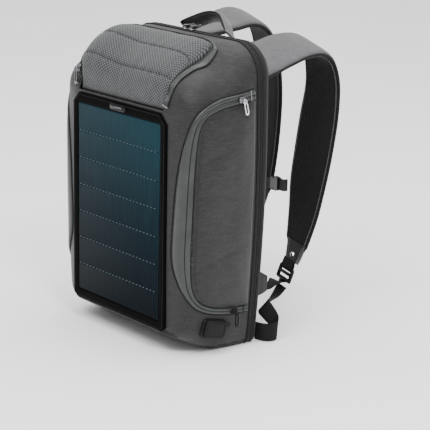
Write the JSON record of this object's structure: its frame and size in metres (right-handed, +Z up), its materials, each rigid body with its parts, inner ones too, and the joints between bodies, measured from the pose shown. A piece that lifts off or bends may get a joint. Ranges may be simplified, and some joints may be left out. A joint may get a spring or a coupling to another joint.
{
  "type": "solar backpack",
  "caption": "Upright backpack with a framed solar panel on its front, a padded hood pocket above it, zipped side pockets, a USB port and a hinged back panel with shoulder straps.",
  "frame": {"origin": "on the floor under the middle of the whole object, straps included", "axes": "+Z up, the solar panel faces -Y, the back panel and straps face +Y, the USB port is on the +X side"},
  "size_m": [0.3298, 0.3738, 0.4808],
  "materials": {
    "plastic": "matt black moulded plastic",
    "board": "stiffening sheet",
    "foam_mesh": "black air mesh over foam, grey heathered outer face",
    "black_fabric": "black woven nylon",
    "shell_fabric": "heathered dark grey woven polyester",
    "hood_mesh": "grey ripstop with a fine diamond mesh, quilted",
    "lining": "thin dark lining",
    "metal": "bright plated zinc",
    "zip_tape": "satin grey-green water-resistant zip tape",
    "webbing": "black woven webbing",
    "rubber": "soft black rubber",
    "solar_frame": "matt black edge frame",
    "solar_cell": "dark blue cells under a clear laminate, fine vertical lines",
    "leatherette": "dark grey grained leatherette"
  },
  "bodies": {
    "bag": {"badge_plate": "plastic", "base_board": "board", "charge_controller": "plastic", "hood_pouch": "lining", "hood_zip_gusset": "zip_tape", "main_shell": "shell_fabric", "main_zip_tape": "zip_tape", "panel_lead": "rubber", "side_pouch_left": "lining", "side_pouch_right": "lining", "side_zip_tape_left": "zip_tape", "side_zip_tape_right": "zip_tape", "solar_backing_board": "board", "solar_frame": "solar_frame", "solar_laminate": "solar_cell", "usb_housing": "rubber", "usb_lead": "rubber", "usb_socket": "metal"},
    "back": {"back_panel": "black_fabric", "back_frame_sheet": "board", "laptop_sleeve": "lining", "back_pad_right": "foam_mesh", "back_pad_left": "foam_mesh", "shoulder_strap_right": "foam_mesh", "shoulder_strap_left": "foam_mesh", "strap_end_right": "leatherette", "strap_end_left": "leatherette", "strap_rivet_right": "metal", "strap_rivet_left": "metal", "adjuster_right": "plastic", "adjuster_left": "plastic", "lower_webbing_right": "webbing", "lower_webbing_left": "webbing", "corner_tab_right": "black_fabric", "corner_tab_left": "black_fabric", "webbing_tail_right": "webbing", "webbing_tail_left": "webbing", "sternum_strap_right": "webbing", "sternum_strap_left": "webbing", "sternum_socket": "plastic", "sternum_plug": "plastic"},
    "hood": {"hood_panel": "hood_mesh"},
    "flap_right": {"side_flap_right": "shell_fabric"},
    "flap_left": {"side_flap_left": "shell_fabric"},
    "usb_cover_body": {"usb_cover": "rubber"},
    "handle": {"carry_handle": "shell_fabric"},
    "side_right_top_slider_body": {"side_right_top_slider": "metal"},
    "side_right_top_pull_body": {"side_right_top_pull": "metal"},
    "side_right_bottom_slider_body": {"side_right_bottom_slider": "metal"},
    "side_right_bottom_pull_body": {"side_right_bottom_pull": "metal"},
    "side_left_top_slider_body": {"side_left_top_slider": "metal"},
    "side_left_top_pull_body": {"side_left_top_pull": "metal"},
    "side_left_bottom_slider_body": {"side_left_bottom_slider": "metal"},
    "side_left_bottom_pull_body": {"side_left_bottom_pull": "metal"},
    "hood_slider_body": {"hood_slider": "metal"},
    "hood_pull_body": {"hood_pull": "metal"},
    "main_left_slider_body": {"main_left_slider": "metal"},
    "main_left_pull_body": {"main_left_pull": "metal"},
    "main_right_slider_body": {"main_right_slider": "metal"},
    "main_right_pull_body": {"main_right_pull": "metal"}
  },
  "joints": [
    {"name": "back_panel_hinge", "type": "hinge", "parent": "bag", "child": "back", "pos_m": [0, -0.03717, 0.0008], "axis": [-1, 0, 0], "range_deg": [0, 90]},
    {"name": "hood_hinge", "type": "hinge", "parent": "bag", "child": "hood", "pos_m": [0, -0.17727, 0.3632], "axis": [1, 0, 0], "range_deg": [0, 80]},
    {"name": "side_flap_right_hinge", "type": "hinge", "parent": "bag", "child": "flap_right", "pos_m": [0.15836, -0.05217, 0], "axis": [0, 0, 1], "range_deg": [0, 100]},
    {"name": "side_flap_left_hinge", "type": "hinge", "parent": "bag", "child": "flap_left", "pos_m": [-0.15836, -0.05217, 0], "axis": [0, 0, -1], "range_deg": [0, 100]},
    {"name": "usb_cover_hinge", "type": "hinge", "parent": "bag", "child": "usb_cover_body", "pos_m": [0.15539, -0.13843, 0.0447], "axis": [0, -0.2419, -0.9703], "range_deg": [0, 110]},
    {"name": "carry_handle_swing", "type": "hinge", "parent": "back", "child": "handle", "pos_m": [0, -0.02407, 0.452], "axis": [-1, 0, 0], "range_deg": [-35, 25]},
    {"name": "side_right_top_travel", "type": "slide", "parent": "flap_right", "child": "side_right_top_slider_body", "axis": [-0.0358, 0.9925, 0.1173], "range_m": [-0.045, 0.012]},
    {"name": "side_right_top_pull_swing", "type": "hinge", "parent": "side_right_top_slider_body", "child": "side_right_top_pull_body", "pos_m": [0.16409, -0.08107, 0.37949], "axis": [0, -1, 0], "range_deg": [0, 150]},
    {"name": "side_right_bottom_travel", "type": "slide", "parent": "bag", "child": "side_right_bottom_slider_body", "axis": [-0.0359, 0.9956, -0.086], "range_m": [-0.045, 0.012]},
    {"name": "side_right_bottom_pull_swing", "type": "hinge", "parent": "side_right_bottom_slider_body", "child": "side_right_bottom_pull_body", "pos_m": [0.16158, -0.08107, 0.06112], "axis": [0, -1, 0], "range_deg": [0, 150]},
    {"name": "side_left_top_travel", "type": "slide", "parent": "flap_left", "child": "side_left_top_slider_body", "axis": [0.0358, 0.9925, 0.1173], "range_m": [-0.045, 0.012]},
    {"name": "side_left_top_pull_swing", "type": "hinge", "parent": "side_left_top_slider_body", "child": "side_left_top_pull_body", "pos_m": [-0.16409, -0.08107, 0.37949], "axis": [0, 1, 0], "range_deg": [0, 150]},
    {"name": "side_left_bottom_travel", "type": "slide", "parent": "bag", "child": "side_left_bottom_slider_body", "axis": [0.0359, 0.9956, -0.086], "range_m": [-0.045, 0.012]},
    {"name": "side_left_bottom_pull_swing", "type": "hinge", "parent": "side_left_bottom_slider_body", "child": "side_left_bottom_pull_body", "pos_m": [-0.16158, -0.08107, 0.06112], "axis": [0, 1, 0], "range_deg": [0, 150]},
    {"name": "hood_travel", "type": "slide", "parent": "bag", "child": "hood_slider_body", "axis": [0, 0.2496, 0.9684], "range_m": [-0.003, 0.012]},
    {"name": "hood_pull_swing", "type": "hinge", "parent": "hood_slider_body", "child": "hood_pull_body", "pos_m": [-0.11, -0.18393, 0.39667], "axis": [-1, 0, 0], "range_deg": [0, 120]},
    {"name": "main_left_travel", "type": "slide", "parent": "bag", "child": "main_left_slider_body", "axis": [-1, 0, 0], "range_m": [0, 0.012]},
    {"name": "main_left_pull_swing", "type": "hinge", "parent": "main_left_slider_body", "child": "main_left_pull_body", "pos_m": [-0.027, -0.04232, 0.4607], "axis": [1, 0, 0], "range_deg": [0, 180]},
    {"name": "main_right_travel", "type": "slide", "parent": "bag", "child": "main_right_slider_body", "axis": [1, 0, 0], "range_m": [0, 0.05]},
    {"name": "main_right_pull_swing", "type": "hinge", "parent": "main_right_slider_body", "child": "main_right_pull_body", "pos_m": [-0.011, -0.04232, 0.4607], "axis": [1, 0, 0], "range_deg": [0, 180]}
  ]
}
